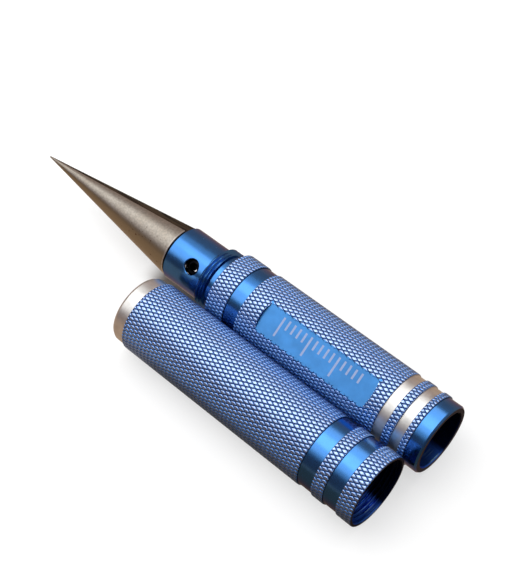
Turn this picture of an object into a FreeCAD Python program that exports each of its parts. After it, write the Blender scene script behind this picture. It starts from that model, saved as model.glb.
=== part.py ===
"""Tapered hole reamer with its screw-on cover laid beside the handle.

Two round pieces lie side by side along X. The reamer points towards -X: a conical blade held in
the collar of a turned handle by one set screw. The cover is a closed tube with a threaded mouth.
Stations along each piece are measured towards +X from its own front face: the collar's face on the
handle, the closed face on the cover. Lengths are in millimetres, +Z is up, and the surface that
both pieces lie on is Z = 0.
"""
import FreeCAD, Part
import math
import os

from FreeCAD import Vector

# Both tubes
GRIP_R = 9.3            # over the crests of the knurled lengths
BAND_R = 8.98           # turned bands between the knurled lengths
SIDE_GAP = 0.25         # between the two grips where they lie side by side
EDGE = 0.12             # broken edge of a knurled length

# Handle, stations from the collar's front face
COLLAR_R = 7.25
COLLAR_EDGE = 0.1
THREAD_R = 8.2          # crest radius of the thread that takes the cover
THREAD_START = 11.0
THREAD_END = 13.8
RELIEF_R = 7.5          # runout groove behind the thread
SHOULDER = 16.1         # face that the cover's mouth meets
# (station of the front edge, station of the rear edge) of each band
HANDLE_BANDS = ((21.6, 25.4), (67.25, 69.8), (72.05, 74.55))
END_RING_START = 76.15
END_RING_R = 8.95
HANDLE_LENGTH = 79.8
END_CHAMFER = 0.45
END_CHAMFER_DROP = 0.32
REAR_BORE_R = 7.25
REAR_BORE_DEPTH = 42.0
REAR_BORE_CHAMFER = 0.25
DRILL_POINT = math.radians(59.0)     # half of the drill's point angle

# Marking flat, milled on the long knurled length
FLAT_FROM, FLAT_TO = 30.65, 63.7
FLAT_ANGLE = 120.5      # about +X, from +Y towards +Z
FLAT_HALF_WIDTH = 3.83
FLAT_END_ARC_R = 11.0   # radius that the cutter leaves at each end

# Set screw and the hole that it runs in
SCREW_STATION = 7.6
SCREW_ANGLE = 127.0
SCREW_R = 1.95
SCREW_HOLE_R = 2.0
SCREW_LENGTH = 3.0
SCREW_END_CHAMFER = 0.35
SCREW_SEAT_GAP = 0.03
SOCKET_ACROSS_FLATS = 2.0
SOCKET_DEPTH = 1.6
HOLE_CHAMFER = 0.15

# Blade
BASE_R = 7.0            # the largest hole is 14 mm
TAPER = 0.14            # radius gained for each millimetre of length
TIP_BLUNT = 1.25        # length lost where the flute thins the point away
FACE_GAP = 0.58         # between the blade's back face and the collar
BASE_EDGE = 0.12        # broken edge behind the largest diameter
SHANK_R = 4.0
SHANK_HOLE_R = 4.05
SHANK_LENGTH = 16.5
SHANK_CHAMFER = 0.5
SHANK_HOLE_DEPTH = 16.6
SHANK_HOLE_CHAMFER = 0.2
SEAT_R = 3.2            # flat along the whole shank, distance from the axis

# Flute: one straight groove, whose cutting face lies in a plane through the axis
FLUTE_FACE_ANGLE = 67.3     # cutting face, from +Y towards +Z
FLUTE_SECTION = 90.0        # angle between the cutting face and the groove's other wall
FLUTE_ROOT = 0.62           # root's distance from the axis, as a share of the cone's radius
FLUTE_ROOT_R = 0.2
FLUTE_REACH = 20.0          # size of the cutter section, larger than the cone

# Cover, stations from its closed face
COVER_LENGTH = 73.75
COVER_NOSE_R = 8.88     # plain turned ring at the closed end
COVER_NOSE_LENGTH = 3.6
COVER_NOSE_CHAMFER = 0.55
COVER_NOSE_DROP = 0.3
COVER_BANDS = ((58.5, 62.55), (65.75, 69.55))
COVER_BORE_R = 7.65
COVER_FLOOR = 5.6       # thickness of the closed end
COVER_MOUTH_R = 8.3     # threaded length of the bore
COVER_MOUTH_LENGTH = 5.0
COVER_MOUTH_CHAMFER = 0.3
COVER_SET_BACK = 3.47   # closed face to the collar's front face, along X, as they lie

# Places in the part's frame, with X = 0 half way along the reamer
CONE_LENGTH = BASE_R / TAPER
REAMER_LENGTH = CONE_LENGTH - TIP_BLUNT + BASE_EDGE + FACE_GAP + HANDLE_LENGTH
TIP_X = -REAMER_LENGTH / 2
APEX_X = TIP_X - TIP_BLUNT
COLLAR_X = APEX_X + CONE_LENGTH + BASE_EDGE + FACE_GAP
HANDLE_Y = GRIP_R + SIDE_GAP / 2
COVER_X = COLLAR_X + COVER_SET_BACK
AXIS_X = Vector(1, 0, 0)


def turned(outline):
    """Solid of revolution about X from a closed outline of (station, radius) points."""
    points = [Vector(station, radius, 0) for station, radius in outline]
    wire = Part.makePolygon(points + points[:1])
    return Part.Face(wire).revolve(Vector(0, 0, 0), AXIS_X, 360)


def round_bar(start, end, radius):
    """Plain cylinder along X."""
    return Part.makeCylinder(radius, end - start, Vector(start, 0, 0), AXIS_X)


def drilled(mouth, bottom, radius, chamfer):
    """Drilled hole along X with a chamfered mouth and a conical bottom, as the solid to cut away."""
    inward = math.copysign(1, bottom - mouth)
    outline = [(mouth, 0), (mouth, radius + chamfer), (mouth + inward * chamfer, radius)]
    outline += [(bottom, radius), (bottom + inward * radius / math.tan(DRILL_POINT), 0)]
    return turned(outline)


def grip_outline(start, end, bands):
    """Outline points of a knurled length from start to end, stepped down at each band."""
    points = []
    lengths = zip([start] + [band[1] for band in bands], [band[0] for band in bands] + [end])
    for left, right in lengths:
        points += [(left, BAND_R), (left, GRIP_R - EDGE), (left + EDGE, GRIP_R)]
        points += [(right - EDGE, GRIP_R), (right, GRIP_R - EDGE), (right, BAND_R)]
    return points


def radial(shape, angle):
    """Turns a shape built along +Y so that it points out at an angle about +X."""
    turned_shape = shape.copy()
    turned_shape.rotate(Vector(0, 0, 0), AXIS_X, angle)
    return turned_shape


def marking_flat_cutter():
    """Solid over the marking flat: its ends are arcs of the cutter's radius."""
    bulge = FLAT_END_ARC_R - math.sqrt(FLAT_END_ARC_R ** 2 - FLAT_HALF_WIDTH ** 2)
    depth_r = math.sqrt(GRIP_R ** 2 - FLAT_HALF_WIDTH ** 2)
    reach = GRIP_R - depth_r + 1.0
    low, high = FLAT_FROM + bulge, FLAT_TO - bulge
    half = FLAT_HALF_WIDTH
    corner = [Vector(low, depth_r, -half), Vector(low, depth_r, half)]
    corner += [Vector(high, depth_r, half), Vector(high, depth_r, -half)]
    edges = [
        Part.Arc(corner[0], Vector(FLAT_FROM, depth_r, 0), corner[1]).toShape(),
        Part.makeLine(corner[1], corner[2]),
        Part.Arc(corner[2], Vector(FLAT_TO, depth_r, 0), corner[3]).toShape(),
        Part.makeLine(corner[3], corner[0]),
    ]
    cutter = Part.Face(Part.Wire(edges)).extrude(Vector(0, reach, 0))
    return radial(cutter, FLAT_ANGLE)


def screw_hole():
    """Radial hole from the middle of the shank's pocket out through the collar's wall."""
    hole = Part.makeCylinder(
        SCREW_HOLE_R, COLLAR_R + 1, Vector(SCREW_STATION, 0, 0), Vector(0, 1, 0)
    )
    return radial(hole, SCREW_ANGLE)


def with_broken_hole_edge(handle):
    """The handle with the outer edge of the screw hole chamfered."""
    angle = math.radians(SCREW_ANGLE)
    mouth = Vector(SCREW_STATION, COLLAR_R * math.cos(angle), COLLAR_R * math.sin(angle))
    rim = [edge for edge in handle.Edges if edge.CenterOfMass.distanceToPoint(mouth) < 1.0]
    return handle.makeChamfer(HOLE_CHAMFER, rim)


def make_handle():
    """Turned handle: collar, thread, runout groove, banded grip, end ring and both bores."""
    outline = [(0, 0), (0, COLLAR_R - COLLAR_EDGE), (COLLAR_EDGE, COLLAR_R)]
    rise = THREAD_R - COLLAR_R
    outline += [(THREAD_START, COLLAR_R), (THREAD_START + rise / 2, THREAD_R)]
    outline += [(THREAD_END, THREAD_R), (THREAD_END + (THREAD_R - RELIEF_R) / 2, RELIEF_R)]
    outline += [(SHOULDER, RELIEF_R)]
    outline += grip_outline(SHOULDER, END_RING_START, HANDLE_BANDS)
    outline += [(END_RING_START, END_RING_R), (HANDLE_LENGTH - END_CHAMFER, END_RING_R)]
    outline += [(HANDLE_LENGTH, END_RING_R - END_CHAMFER_DROP), (HANDLE_LENGTH, 0)]
    handle = turned(outline)
    handle = handle.cut(drilled(0, SHANK_HOLE_DEPTH, SHANK_HOLE_R, SHANK_HOLE_CHAMFER))
    bottom = HANDLE_LENGTH - REAR_BORE_DEPTH
    handle = handle.cut(drilled(HANDLE_LENGTH, bottom, REAR_BORE_R, REAR_BORE_CHAMFER))
    handle = handle.cut(marking_flat_cutter())
    return with_broken_hole_edge(handle.cut(screw_hole()))


def make_set_screw():
    """Headless screw with a hexagon socket and a chamfered end, seated on the shank's flat."""
    inner = SEAT_R + SCREW_SEAT_GAP
    chamfer = SCREW_END_CHAMFER
    outward = Vector(0, 1, 0)
    end = Part.makeCone(SCREW_R - chamfer, SCREW_R, chamfer, Vector(0, inner, 0), outward)
    body = Part.makeCylinder(SCREW_R, SCREW_LENGTH - chamfer, Vector(0, inner + chamfer, 0), outward)
    corner_r = SOCKET_ACROSS_FLATS / math.sqrt(3)
    turns = [math.radians(60 * i) for i in range(7)]
    outer = inner + SCREW_LENGTH
    corners = [Vector(corner_r * math.cos(t), outer, corner_r * math.sin(t)) for t in turns]
    socket = Part.Face(Part.makePolygon(corners)).extrude(Vector(0, -SOCKET_DEPTH, 0))
    screw = body.fuse(end).removeSplitter().cut(socket)
    screw.translate(Vector(SCREW_STATION, 0, 0))
    return radial(screw, SCREW_ANGLE)


def flute_cutter():
    """Straight groove: an L section with a rounded root, swept along its climbing root line."""
    walls = [math.radians(FLUTE_FACE_ANGLE - turn) for turn in (FLUTE_SECTION, 0)]
    along = [Vector(0, math.cos(wall), math.sin(wall)) for wall in walls]
    half = math.radians(FLUTE_SECTION / 2)
    out = (along[0] + along[1]).normalize()
    near = [side * (FLUTE_ROOT_R / math.tan(half)) for side in along]
    lowest = out * (FLUTE_ROOT_R / math.sin(half) - FLUTE_ROOT_R)
    far = [side * FLUTE_REACH for side in along]
    section = Part.Wire([
        Part.makeLine(far[0], near[0]),
        Part.Arc(near[0], lowest, near[1]).toShape(),
        Part.makeLine(near[1], far[1]),
        Part.makeLine(far[1], far[0]),
    ])
    reach = CONE_LENGTH + BASE_EDGE
    return Part.Face(section).extrude(AXIS_X * reach + along[1] * (FLUTE_ROOT * TAPER * reach))


def make_blade():
    """Conical single-flute blade with a cylindrical shank, built with its apex at the origin."""
    base = CONE_LENGTH + BASE_EDGE
    outline = [(TIP_BLUNT, 0), (TIP_BLUNT, TAPER * TIP_BLUNT), (CONE_LENGTH, BASE_R)]
    outline += [(base, BASE_R - BASE_EDGE), (base, SHANK_R)]
    outline += [(base + SHANK_LENGTH - SHANK_CHAMFER, SHANK_R)]
    outline += [(base + SHANK_LENGTH, SHANK_R - SHANK_CHAMFER), (base + SHANK_LENGTH, 0)]
    blade = turned(outline).cut(flute_cutter())
    corner = Vector(base, SEAT_R, -SHANK_R)
    seat = Part.makeBox(SHANK_LENGTH, SHANK_R, 2 * SHANK_R, corner)
    return blade.cut(radial(seat, SCREW_ANGLE))


def make_cover():
    """Closed knurled tube with a turned nose, two bands and a threaded mouth."""
    outline = [(0, 0), (0, COVER_NOSE_R - COVER_NOSE_DROP), (COVER_NOSE_CHAMFER, COVER_NOSE_R)]
    outline += [(COVER_NOSE_LENGTH, COVER_NOSE_R)]
    outline += grip_outline(COVER_NOSE_LENGTH, COVER_LENGTH, COVER_BANDS)
    outline += [(COVER_LENGTH, 0)]
    cover = turned(outline)
    cover = cover.cut(round_bar(COVER_FLOOR, COVER_LENGTH, COVER_BORE_R))
    mouth = COVER_LENGTH - COVER_MOUTH_LENGTH
    mouth_cut = [(mouth, 0), (mouth, COVER_MOUTH_R), (COVER_LENGTH - COVER_MOUTH_CHAMFER, COVER_MOUTH_R)]
    mouth_cut += [(COVER_LENGTH, COVER_MOUTH_R + COVER_MOUTH_CHAMFER), (COVER_LENGTH, 0)]
    return cover.cut(turned(mouth_cut))


def placed(shape, x, y):
    """A piece moved from its own axis to where it lies."""
    moved = shape.copy()
    moved.translate(Vector(x, y, GRIP_R))
    return moved


def main():
    nodes = {
        "handle": placed(make_handle(), COLLAR_X, HANDLE_Y),
        "set_screw": placed(make_set_screw(), COLLAR_X, HANDLE_Y),
        "reamer_blade": placed(make_blade(), APEX_X, HANDLE_Y),
        "cap": placed(make_cover(), COVER_X, -HANDLE_Y),
    }
    os.makedirs("parts", exist_ok=True)
    for name, shape in nodes.items():
        box = shape.BoundBox
        print(name, "valid", shape.isValid(), "solids", len(shape.Solids), "volume", round(shape.Volume, 1),
              [round(v, 2) for v in (box.XMin, box.XMax, box.YMin, box.YMax, box.ZMin, box.ZMax)])
        shape.exportStep(os.path.join("parts", name + ".step"))


main()
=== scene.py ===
"""Looks for a tapered hole reamer and its screw-on cap.

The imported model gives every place: the handle, the cap, the blade and the set screw are built here
again with what the plain solids leave out, which is the knurl, the threads and the surface finishes.
Sizes inside the pieces' classes are millimetres, measured along a piece from its own front face and
out from its own axis. The studio, its lamps and the camera are in metres.
"""

import logging
import math
from dataclasses import dataclass
from enum import Enum
from typing import Callable, Optional, Sequence, Union

import bmesh
import bpy
import numpy as np
from mathutils import Matrix, Vector

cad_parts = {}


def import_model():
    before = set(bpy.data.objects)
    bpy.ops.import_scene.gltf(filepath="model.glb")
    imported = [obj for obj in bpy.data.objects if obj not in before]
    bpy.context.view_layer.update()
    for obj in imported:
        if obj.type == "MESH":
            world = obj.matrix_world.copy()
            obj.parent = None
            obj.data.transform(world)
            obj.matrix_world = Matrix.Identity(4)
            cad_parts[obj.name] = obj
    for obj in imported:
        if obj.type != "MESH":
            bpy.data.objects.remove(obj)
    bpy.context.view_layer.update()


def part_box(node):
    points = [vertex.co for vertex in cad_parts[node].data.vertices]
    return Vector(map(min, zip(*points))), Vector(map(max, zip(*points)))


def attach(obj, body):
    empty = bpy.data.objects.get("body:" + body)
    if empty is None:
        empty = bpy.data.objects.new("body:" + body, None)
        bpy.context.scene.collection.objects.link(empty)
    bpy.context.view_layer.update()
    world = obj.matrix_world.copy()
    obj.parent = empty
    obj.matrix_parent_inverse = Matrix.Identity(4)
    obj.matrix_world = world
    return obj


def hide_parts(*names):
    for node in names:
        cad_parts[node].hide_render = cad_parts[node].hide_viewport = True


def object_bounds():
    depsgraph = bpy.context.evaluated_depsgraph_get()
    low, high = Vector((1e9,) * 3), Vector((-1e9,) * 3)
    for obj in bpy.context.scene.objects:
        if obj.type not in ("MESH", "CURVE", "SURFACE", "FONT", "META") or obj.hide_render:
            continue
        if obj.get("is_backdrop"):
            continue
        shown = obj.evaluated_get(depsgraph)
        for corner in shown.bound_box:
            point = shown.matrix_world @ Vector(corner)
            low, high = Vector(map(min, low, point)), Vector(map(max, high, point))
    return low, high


LOG = logging.getLogger("reamer")
MM = 0.001
FINE = 3.0                          # detail of the finer noises
TOUCH = 0.01                        # how near to a plane a face's middle is when it lies in it
GRIP_RADIUS = 9.3                   # over the crests of the knurl
KNURL_DEPTH = 0.2
FLAT_ANGLE = math.radians(120.5)    # direction of the marking flat about X, from Y towards Z
SCREW_ANGLE = math.radians(127.0)   # direction of the set screw, given in the same way
SCREW_STATION = 7.6                 # where the set screw's axis meets the handle's
SCREW_PITCH = 0.7

Colour = tuple[float, float, float]
Range = tuple[float, float]
Outline = list[tuple[float, float]]
Value = Union["Socket", float]
Inputs = dict[object, object]


class Cut(Enum):
    """What a tool solid does to a target solid."""

    KEEP_INSIDE = "INTERSECT"
    REMOVE = "DIFFERENCE"


class Look(Enum):
    """Surfaces that the handle and the cap can show, in the order of their material slots."""

    TURNED = 0
    KNURLED = 1
    BARE = 2
    MILLED = 3
    BORED = 4
    RIM = 5
    TAPPED = 6


class Steel(Enum):
    """Surfaces of the blade, in the order of its material slots."""

    GROUND = 0
    SCALE_AND_SHADE = 1


# ----------------------------------------------------------------------------------------------
# Shader writing
# ----------------------------------------------------------------------------------------------


class Socket:
    """One value in a shader, with Python's operators standing for its Math nodes."""

    def __init__(self, graph: "Graph", output: Optional[bpy.types.NodeSocket]) -> None:
        """Wraps an output socket of a graph's node."""
        self.graph = graph
        self.output = output

    def maths(self, operation: str, *others: Value) -> "Socket":
        """Adds a Math node on this value.

        Args:
            operation: Name of the Math node's operation.
            others: The node's further inputs, in order.

        Returns:
            The node's result.
        """
        inputs = dict(enumerate((self, *others)))
        return self.graph.node("ShaderNodeMath", {"operation": operation}, inputs)

    def _reflected(self, operation: str, first: float) -> "Socket":
        """Adds a Math node with a plain number in front of this value."""
        return self.graph.node("ShaderNodeMath", {"operation": operation}, {0: first, 1: self})

    def __add__(self, other: Value) -> "Socket":
        """Sum."""
        return self.maths("ADD", other)

    def __radd__(self, other: float) -> "Socket":
        """Sum with a number in front."""
        return self.maths("ADD", other)

    def __sub__(self, other: Value) -> "Socket":
        """Difference."""
        return self.maths("SUBTRACT", other)

    def __rsub__(self, other: float) -> "Socket":
        """Difference from a number in front."""
        return self._reflected("SUBTRACT", other)

    def __mul__(self, other: Value) -> "Socket":
        """Product."""
        return self.maths("MULTIPLY", other)

    def __rmul__(self, other: float) -> "Socket":
        """Product with a number in front."""
        return self.maths("MULTIPLY", other)

    def __truediv__(self, other: Value) -> "Socket":
        """Quotient."""
        return self.maths("DIVIDE", other)

    def __rtruediv__(self, other: float) -> "Socket":
        """Quotient of a number in front."""
        return self._reflected("DIVIDE", other)

    def __mod__(self, other: Value) -> "Socket":
        """Remainder that is never negative."""
        return self.maths("FLOORED_MODULO", other)

    def __abs__(self) -> "Socket":
        """Size without its sign."""
        return self.maths("ABSOLUTE")

    def step(self, low: float, high: float) -> "Socket":
        """Smooth step of this value.

        Args:
            low: Where the result leaves 0, or where it reaches 0 if low is above high.
            high: Where the result reaches 1.

        Returns:
            A value from 0 to 1.
        """
        settings = {"interpolation_type": "SMOOTHSTEP"}
        if low > high:
            inputs = {"Value": self, 1: high, 2: low, 3: 1.0, 4: 0.0}
        else:
            inputs = {"Value": self, 1: low, 2: high, 3: 0.0, 4: 1.0}
        return self.graph.node("ShaderNodeMapRange", settings, inputs)

    def between(self, rise: Range, fall: Range) -> "Socket":
        """Smooth step up through one range and down again through another."""
        return self.step(*rise) * self.step(*fall)


class Graph:
    """Nodes of one material or world, added by type."""

    def __init__(self, owner: bpy.types.ID) -> None:
        """Empties the owner's node tree and starts it again.

        Args:
            owner: The material or world.
        """
        owner.use_nodes = True
        self.tree = owner.node_tree
        self.tree.nodes.clear()

    def node(self, kind: str, settings: dict[str, object], inputs: Inputs,
             output: Union[int, str] = 0) -> Socket:
        """Adds one node.

        Args:
            kind: The node's type.
            settings: Properties to set before its sockets.
            inputs: Values or links, by socket name or number.
            output: The socket to give back.

        Returns:
            That socket, ready for more maths, or an empty one from a node that ends the graph.
        """
        made = self.tree.nodes.new(kind)
        for name, setting in settings.items():
            setattr(made, name, setting)
        for name, value in inputs.items():
            if isinstance(value, Socket):
                self.tree.links.new(value.output, made.inputs[name])
            else:
                made.inputs[name].default_value = value
        return Socket(self, made.outputs[output] if len(made.outputs) else None)

    def mix(self, factor: Value, first: object, second: object) -> Socket:
        """Mixes two colours.

        Args:
            factor: How much of the second colour.
            first: A colour or a socket.
            second: A colour or a socket.

        Returns:
            The mixed colour.
        """
        inputs = {0: factor, 6: rgba(first), 7: rgba(second)}
        return self.node("ShaderNodeMix", {"data_type": "RGBA"}, inputs, 2)

    def noise(self, place: Socket, scale: float, detail: float = 2.0) -> Socket:
        """Noise from 0 to 1 at a place, with its scale in waves per metre."""
        inputs = {"Vector": place, "Scale": scale, "Detail": detail}
        return self.node("ShaderNodeTexNoise", {}, inputs)

    def bump(self, height: Socket, strength: float, depth: float) -> Socket:
        """Normal bent by a height, whose depth is in millimetres."""
        inputs = {"Height": height, "Strength": strength, "Distance": depth * MM}
        return self.node("ShaderNodeBump", {}, inputs)

    def place(self) -> tuple[Socket, Socket, Socket, Socket]:
        """Reads a place on the object.

        Returns:
            The place as a vector, then its three coordinates in metres.
        """
        spot = self.node("ShaderNodeTexCoord", {}, {}, "Object")
        x, y, z = [self.node("ShaderNodeSeparateXYZ", {}, {0: spot}, i) for i in range(3)]
        return spot, x, y, z

    def shown(self) -> Socket:
        """Finds the rays that see a background.

        Returns:
            1 for a camera, glossy or transmission ray, and 0 for one that carries light.
        """
        names = ("Is Camera Ray", "Is Glossy Ray", "Is Transmission Ray")
        camera, glossy, clear = [self.node("ShaderNodeLightPath", {}, {}, name) for name in names]
        return camera + glossy + clear

    def glow(self, colour: object) -> Socket:
        """Emission that shows a colour as it is written."""
        return self.node("ShaderNodeEmission", {}, {"Color": rgba(colour), "Strength": 1.0})

    def surface(self, shader: Socket, kind: str = "ShaderNodeOutputMaterial") -> None:
        """Ends the graph in an output node."""
        self.node(kind, {}, {"Surface": shader})


def rgba(colour: object) -> object:
    """Gives a plain colour the alpha that a socket wants, and passes sockets on."""
    return colour if isinstance(colour, Socket) else (*colour, 1.0)


def shade(colour: Colour, share: float) -> Colour:
    """Makes a colour darker or lighter."""
    return tuple(share * channel for channel in colour)


def about(angle: float) -> Vector:
    """Unit vector at an angle about X, from Y towards Z."""
    return Vector((0.0, math.cos(angle), math.sin(angle)))


def quarter_turn(out: Vector) -> Vector:
    """Unit vector a quarter turn about X past another."""
    return Vector((0.0, -out.z, out.y))


def arc(sweep: float, steps: int) -> list[float]:
    """Angles from -sweep to sweep, with so many steps on each side."""
    return [sweep * (i / steps - 1) for i in range(2 * steps + 1)]


@dataclass(frozen=True)
class Axis:
    """Line along X that a turned piece is centred on, in metres."""

    start: float
    y: float
    z: float

    @classmethod
    def of(cls, node: str) -> "Axis":
        """Finds the axis of a round CAD node from its box."""
        low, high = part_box(node)
        return cls(low.x, (low.y + high.y) / 2, (low.z + high.z) / 2)

    def place(self) -> Matrix:
        """Matrix from a piece's own millimetres to the part's metres."""
        return Matrix.Translation((self.start, self.y, self.z)) @ Matrix.Scale(MM, 4)

    def radial(self, station: float, angle: float) -> Matrix:
        """Matrix from millimetres along a radius of the piece to the part's metres.

        Args:
            station: Where the radius leaves the axis.
            angle: Direction of the radius about X, from Y towards Z.

        Returns:
            A matrix whose X runs out along the radius and whose Y runs along the piece.
        """
        out = about(angle)
        side = Vector((0.0, out.z, -out.y))
        turn = Matrix((out, (1.0, 0.0, 0.0), side)).transposed().to_4x4()
        return self.place() @ Matrix.Translation((station, 0.0, 0.0)) @ turn


@dataclass(frozen=True)
class Around:
    """Places on a turned piece as its shaders see them, in millimetres."""

    spot: Socket
    station: Socket
    across: Socket
    up: Socket
    radius: Socket

    @classmethod
    def read(cls, graph: Graph, axis: Axis) -> "Around":
        """Adds the nodes that work out a place relative to an axis.

        Args:
            graph: The material's graph.
            axis: The axis that stations run along.

        Returns:
            The place.
        """
        spot, x, y, z = graph.place()
        across = (y - axis.y) / MM
        up = (z - axis.z) / MM
        radius = (across * across + up * up).maths("SQRT")
        return cls(spot, (x - axis.start) / MM, across, up, radius)

    def along(self, angle: float) -> Socket:
        """Distance from the axis along a direction about X."""
        return self.across * math.cos(angle) + self.up * math.sin(angle)

    def beside(self, angle: float) -> Socket:
        """Distance from the plane through the axis at an angle, towards larger angles."""
        return self.up * math.cos(angle) - self.across * math.sin(angle)

    def lathe_lines(self, per_mm: float) -> Socket:
        """Fine uneven rings round the axis, from 0 to 1."""
        inputs = {"W": self.station, "Scale": per_mm, "Detail": FINE, "Roughness": 0.7}
        return self.station.graph.node("ShaderNodeTexNoise", {"noise_dimensions": "1D"}, inputs)


# ----------------------------------------------------------------------------------------------
# Finishes
# ----------------------------------------------------------------------------------------------


@dataclass(frozen=True)
class Patches:
    """Patches of noise, which start at one of its levels and fill at the other."""

    scale: float
    levels: Range
    strength: float = 1.0
    detail: float = FINE

    def mask(self, graph: Graph, spot: Socket) -> Socket:
        """Strength of the patches at a place."""
        return graph.noise(spot, self.scale, self.detail).step(*self.levels) * self.strength


@dataclass(frozen=True)
class Finish:
    """One kind of metal surface.

    A relief is a strength and a depth in millimetres. A scale is in waves per metre. A range is where
    a smooth step starts and where it is complete.
    """

    roughness: float = 0.4
    spread: float = 0.1
    relief: Range = (0.4, 0.005)

    def make(self, name: str, axis: Axis) -> bpy.types.Material:
        """Builds the material.

        Args:
            name: The material's name.
            axis: The axis of the piece that it is on, or that its piece sits in.

        Returns:
            The material.
        """
        material = bpy.data.materials.new(name)
        graph = Graph(material)
        inputs = self.inputs(graph, Around.read(graph, axis))
        graph.surface(graph.node("ShaderNodeBsdfPrincipled", {}, inputs))
        return material

    def inputs(self, graph: Graph, at: Around) -> Inputs:
        """Works out what goes into the shader.

        Args:
            graph: The material's graph.
            at: Places on the piece.

        Returns:
            Values or links, by the name of the shader's socket.
        """
        raise NotImplementedError

    def uneven(self, noise: Socket) -> Socket:
        """Roughness that a noise moves by half the spread each way."""
        return self.roughness - self.spread / 2 + self.spread * noise


@dataclass(frozen=True)
class Anodised(Finish):
    """Dyed anodic film on turned aluminium."""

    dye: Colour = (0.021, 0.142, 0.4)
    shades: Range = (0.82, 1.15)
    edge_tint: Colour = (0.12, 0.16, 0.3)
    roughness: float = 0.25
    relief: Range = (0.35, 0.0016)
    film: float = 0.65
    film_roughness: float = 0.18
    metal: float = 1.0
    cloud_scale: float = 220.0
    smear_scale: float = 900.0
    rings_per_mm: float = 9.0

    def inputs(self, graph: Graph, at: Around) -> Inputs:
        """Puts the film over the dyed metal.

        Args:
            graph: The material's graph.
            at: Places on the piece.

        Returns:
            Values or links, by the name of the shader's socket.
        """
        return {
            "Base Color": self.colour(graph, at),
            "Metallic": self.metal,
            "Roughness": self.uneven(graph.noise(at.spot, self.smear_scale)),
            "Specular Tint": rgba(self.edge_tint),
            "Coat Weight": self.film,
            "Coat Roughness": self.film_roughness,
            "Normal": graph.bump(self.height(graph, at), *self.relief),
        }

    def colour(self, graph: Graph, at: Around) -> Socket:
        """Dye that takes a little unevenly."""
        deep, pale = [shade(self.dye, share) for share in self.shades]
        return graph.mix(graph.noise(at.spot, self.cloud_scale), deep, pale)

    def height(self, graph: Graph, at: Around) -> Socket:
        """Rings that the turning tool left."""
        return at.lathe_lines(self.rings_per_mm)


@dataclass(frozen=True)
class AnodisedBore(Anodised):
    """The same film inside a bore, dull, lit by little but what comes in at the mouth, with painted
    shade and painted glints.
    """

    dye: Colour = (0.035, 0.13, 0.6)
    edge_tint: Colour = (0.004, 0.012, 0.04)
    roughness: float = 0.35
    metal: float = 0.93
    film: float = 0.0
    bore_painted_shade: float = 0.04
    bore_painted_shade_range: Range = (0.4, 2.4)
    glint: Colour = (0.35, 0.7, 1.0)
    glint_strength: float = 0.8
    glint_rise: Range = (-3.4, -1.8)
    glint_fall: Range = (0.8, -0.4)
    glint_rings: float = 1.3
    glint_levels: Range = (0.54, 0.62)

    def colour(self, graph: Graph, at: Around) -> Socket:
        """Dye with painted shade over one side, and painted glints on a few turning rings beside it.

        Args:
            graph: The material's graph.
            at: Places on the piece.

        Returns:
            The colour.
        """
        # Painted glints: a few turning rings beside the shaded side are made bright.
        glint_band = at.across.between(self.glint_rise, self.glint_fall)
        rings = at.lathe_lines(self.glint_rings).step(*self.glint_levels) * glint_band
        dyed = graph.mix(rings * self.glint_strength, super().colour(graph, at), self.glint)
        # Painted shade: the dye is darkened over one side of the bore.
        return graph.mix(at.across.step(*self.bore_painted_shade_range), dyed, shade(self.dye, self.bore_painted_shade))


@dataclass(frozen=True)
class AnodisedRim(Anodised):
    """The same film on an end face, rubbed thin and grey by use."""

    dye: Colour = (0.075, 0.07, 0.075)
    roughness: float = 0.5
    film: float = 0.1


@dataclass(frozen=True)
class AnodisedKnurl(Anodised):
    """The same film on the knurl, thin on the crests, with painted shade in the grooves."""

    dye: Colour = (0.024, 0.122, 0.36)
    crest: Colour = (0.25, 0.35, 0.58)
    painted_groove_shade: Colour = (0.006, 0.02, 0.075)
    edge_tint: Colour = (0.45, 0.6, 0.85)
    roughness: float = 0.28
    relief: Range = (0.3, 0.01)
    film: float = 0.45
    worn_drops: Range = (0.1, 0.02)
    unworn: float = 0.7
    patches: Patches = Patches(1500.0, (0.25, 0.5), strength=0.3, detail=2.0)
    groove_shade_shares: Range = (0.6, 1.0)
    grain_scale: float = 2600.0

    def colour(self, graph: Graph, at: Around) -> Socket:
        """Dye, worn to pale metal on the crests, with painted shade low in the grooves.

        Args:
            graph: The material's graph.
            at: Places on the piece.

        Returns:
            The colour.
        """
        wear_and_glint = at.radius.step(*[GRIP_RADIUS - drop for drop in self.worn_drops])
        # Painted shade: the dye darkens towards the bottom of the grooves.
        low = at.radius.step(*[GRIP_RADIUS - share * KNURL_DEPTH for share in self.groove_shade_shares])
        patch = self.patches.mask(graph, at.spot)
        flank = graph.mix(low, self.dye, self.painted_groove_shade)
        return graph.mix(wear_and_glint * (self.unworn + patch), flank, self.crest)

    def height(self, graph: Graph, at: Around) -> Socket:
        """Tiny unevenness that the knurling wheel leaves."""
        return graph.noise(at.spot, self.grain_scale, FINE)


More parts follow.
